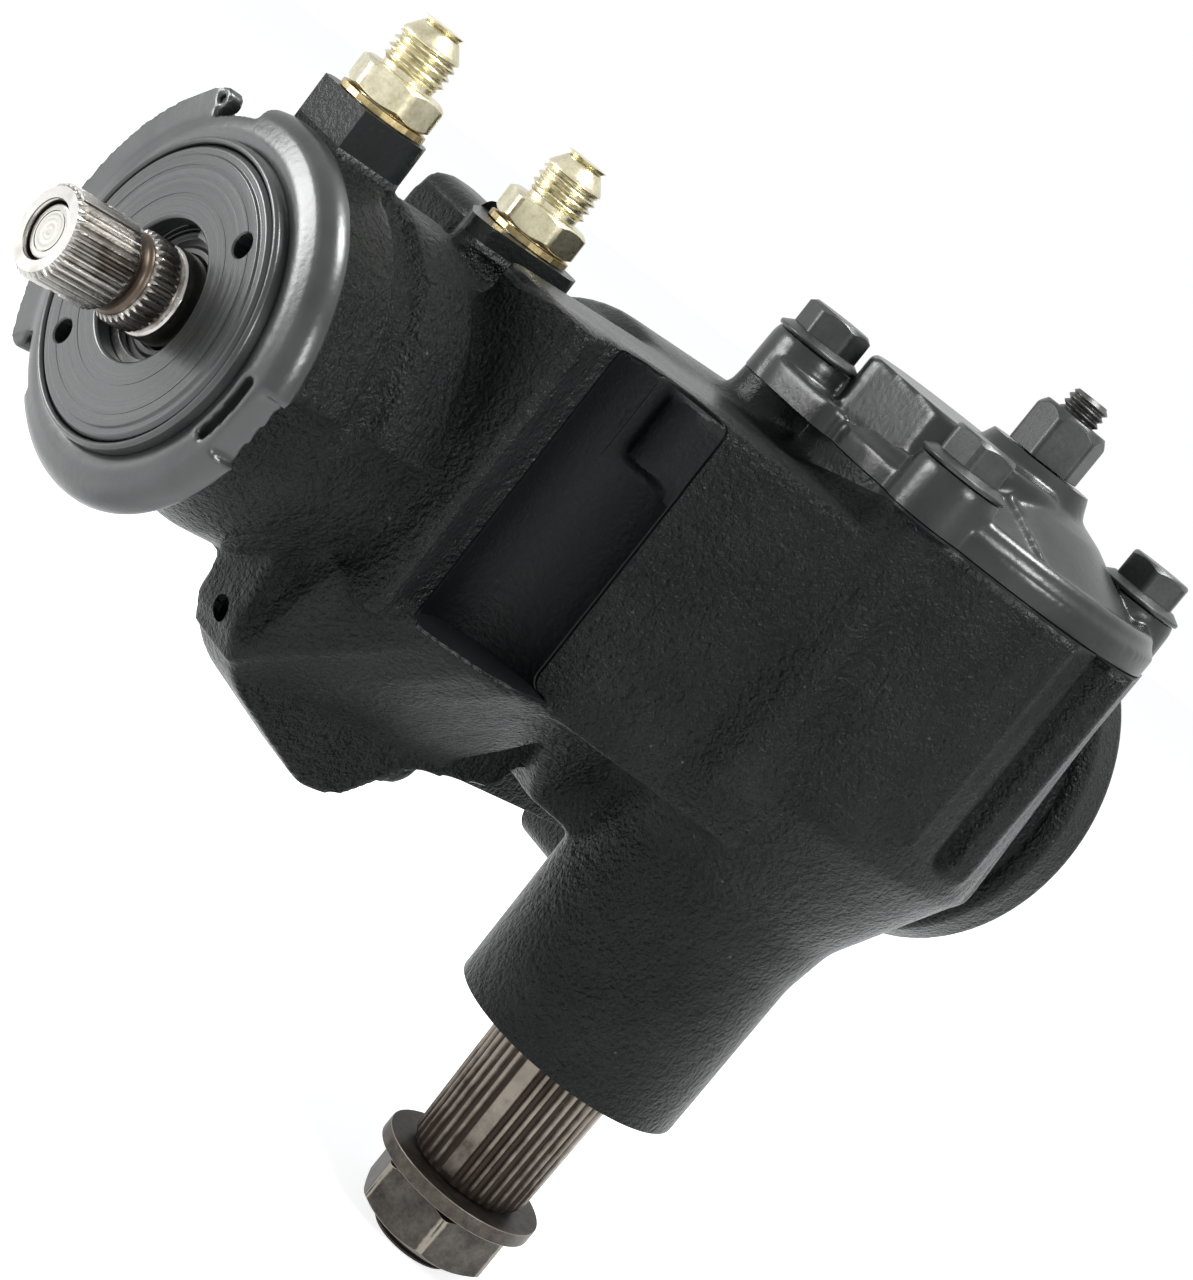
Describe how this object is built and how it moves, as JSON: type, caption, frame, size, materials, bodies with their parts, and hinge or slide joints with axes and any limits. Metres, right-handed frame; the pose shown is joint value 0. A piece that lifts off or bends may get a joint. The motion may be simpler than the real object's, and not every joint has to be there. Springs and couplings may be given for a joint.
{
  "type": "steering gearbox",
  "caption": "Integral power steering gearbox: a worm and ball-nut rack piston swing a splined output shaft; rotary valve on the input shaft and flared hose fittings.",
  "frame": {"origin": "on the machined face that bolts to the frame rail, 15 mm above the centre of the rear mounting hole", "axes": "+X along the worm away from the input shaft, +Y out of the frame face towards the frame rail, +Z along the sector shaft from the steering arm end to the side cover"},
  "size_m": [0.3051, 0.1478, 0.238],
  "materials": {
    "cast_iron_black_paint": "semi-gloss black paint over sand-cast iron",
    "cover_black_paint": "smooth semi-gloss black paint",
    "bolt_black_oxide": "black oxide",
    "adjuster_black_steel": "black steel",
    "adjuster_nut_black": "black paint",
    "sector_shaft_steel": "dark oiled steel",
    "arm_nut_phosphate": "dark phosphate with worn edges",
    "lock_washer_phosphate": "dark phosphate",
    "rack_steel": "machined steel",
    "worm_ground_steel": "ground steel",
    "ball_polished_steel": "polished steel",
    "valve_body_steel": "ground steel",
    "valve_spool_steel": "ground steel",
    "input_shaft_bare_steel": "bare machined steel with light stains",
    "torsion_bar_spring_steel": "bright spring steel",
    "pin_steel": "plain steel",
    "bearing_race_steel": "ground steel",
    "bearing_shell_steel": "pressed steel",
    "adjuster_plug_black": "smooth black, turned face",
    "locknut_black_paint": "smooth semi-gloss black paint",
    "seal_rubber": "matt black rubber",
    "slide_ring_plastic": "filled slide-ring plastic",
    "retaining_ring_spring_steel": "dark spring steel",
    "end_plug_cast": "cast iron",
    "fitting_gold_zinc": "pale gold zinc plate",
    "port_washer_copper": "soft copper",
    "ball_guide_zinc": "zinc plated sheet"
  },
  "bodies": {
    "housing": {"gear_housing": "cast_iron_black_paint", "side_cover": "cover_black_paint", "cover_seal": "seal_rubber", "cover_bolt_1": "bolt_black_oxide", "cover_bolt_2": "bolt_black_oxide", "cover_bolt_3": "bolt_black_oxide", "cover_bolt_4": "bolt_black_oxide", "lash_adjuster_screw": "adjuster_black_steel", "lash_adjuster_nut": "adjuster_nut_black", "sector_upper_bearing": "bearing_shell_steel", "sector_lower_bearing": "bearing_shell_steel", "sector_oil_seal": "seal_rubber", "sector_seal_washer": "pin_steel", "sector_retaining_ring": "retaining_ring_spring_steel", "adjuster_plug": "adjuster_plug_black", "adjuster_locknut": "locknut_black_paint", "input_shaft_seal": "seal_rubber", "input_dust_seal": "seal_rubber", "plug_retaining_ring": "retaining_ring_spring_steel", "plug_needle_bearing": "bearing_shell_steel", "lower_thrust_race": "bearing_race_steel", "lower_thrust_bearing": "bearing_shell_steel", "upper_thrust_race": "bearing_race_steel", "upper_thrust_bearing": "bearing_shell_steel", "cylinder_end_plug": "end_plug_cast", "end_plug_seal": "seal_rubber", "end_retaining_ring": "retaining_ring_spring_steel", "pressure_fitting": "fitting_gold_zinc", "return_fitting": "fitting_gold_zinc", "pressure_fitting_washer": "port_washer_copper", "return_fitting_washer": "port_washer_copper"},
    "sector": {"sector_shaft": "sector_shaft_steel", "arm_lock_washer": "lock_washer_phosphate", "arm_nut": "arm_nut_phosphate"},
    "rack": {"rack_piston": "rack_steel", "rack_slide_ring": "slide_ring_plastic", "rack_end_plug": "pin_steel", "ball_return_guide": "ball_guide_zinc", "ball_01": "ball_polished_steel", "ball_02": "ball_polished_steel", "ball_03": "ball_polished_steel", "ball_04": "ball_polished_steel", "ball_05": "ball_polished_steel", "ball_06": "ball_polished_steel", "ball_07": "ball_polished_steel", "ball_08": "ball_polished_steel", "ball_09": "ball_polished_steel"},
    "worm": {"worm": "worm_ground_steel", "valve_body": "valve_body_steel", "valve_seal_ring_1": "slide_ring_plastic", "valve_seal_ring_2": "slide_ring_plastic", "valve_seal_ring_3": "slide_ring_plastic", "valve_seal_ring_4": "slide_ring_plastic"},
    "input": {"stub_shaft": "input_shaft_bare_steel", "valve_spool": "valve_spool_steel", "torsion_bar": "torsion_bar_spring_steel", "torsion_bar_pin": "pin_steel"}
  },
  "joints": [
    {"name": "sector_swing", "type": "hinge", "parent": "housing", "child": "sector", "pos_m": [-0.063, -0.099, 0.051], "axis": [0, 0, 1], "range_deg": [-45, 45]},
    {"name": "rack_slide", "type": "slide", "parent": "housing", "child": "rack", "axis": [1, 0, 0], "range_m": [-0.0205, 0.0205]},
    {"name": "worm_spin", "type": "hinge", "parent": "housing", "child": "worm", "pos_m": [-0.063, -0.047, 0.051], "axis": [1, 0, 0], "range_deg": [-631, 631]},
    {"name": "input_twist", "type": "hinge", "parent": "worm", "child": "input", "pos_m": [-0.063, -0.047, 0.051], "axis": [1, 0, 0], "range_deg": [-4, 4], "stiffness_Nm_per_rad": 80}
  ],
  "couplings": [
    {"joint": "rack_slide", "follows": "sector_swing", "m_per_rad": -0.026},
    {"joint": "worm_spin", "follows": "sector_swing", "ratio": 14}
  ]
}
